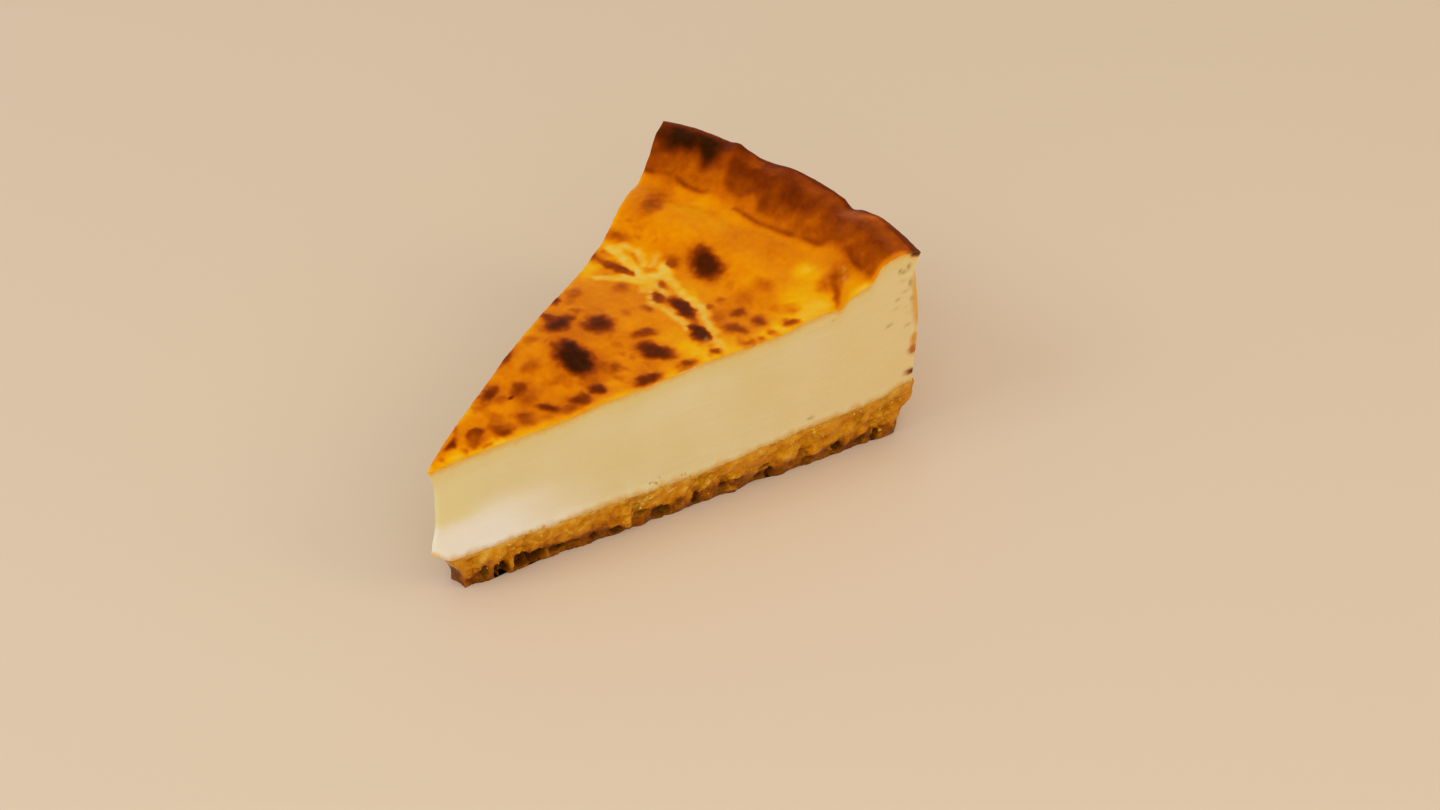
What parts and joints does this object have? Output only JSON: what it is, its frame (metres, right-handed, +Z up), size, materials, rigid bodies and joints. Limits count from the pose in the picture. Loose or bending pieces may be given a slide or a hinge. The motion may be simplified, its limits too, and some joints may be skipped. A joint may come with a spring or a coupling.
{
  "type": "slice of baked cheesecake",
  "caption": "Wedge of baked cheesecake with a browned, blistered top, a smooth cream filling and a pressed biscuit base.",
  "frame": {"origin": "centre of the slice's bounding box, on the plane it stands on", "axes": "+X from the pointed tip to the rim, +Z up, +Y to the left when seen from the tip"},
  "size_m": [0.1244, 0.077, 0.0534],
  "materials": {
    "baked_cream": "soft, slightly moist baked cream with a glossy browned top",
    "biscuit_crumb": "rough buttery biscuit crumb"
  },
  "bodies": {
    "root": {"cheese_filling": "baked_cream", "biscuit_base": "biscuit_crumb"}
  },
  "joints": []
}
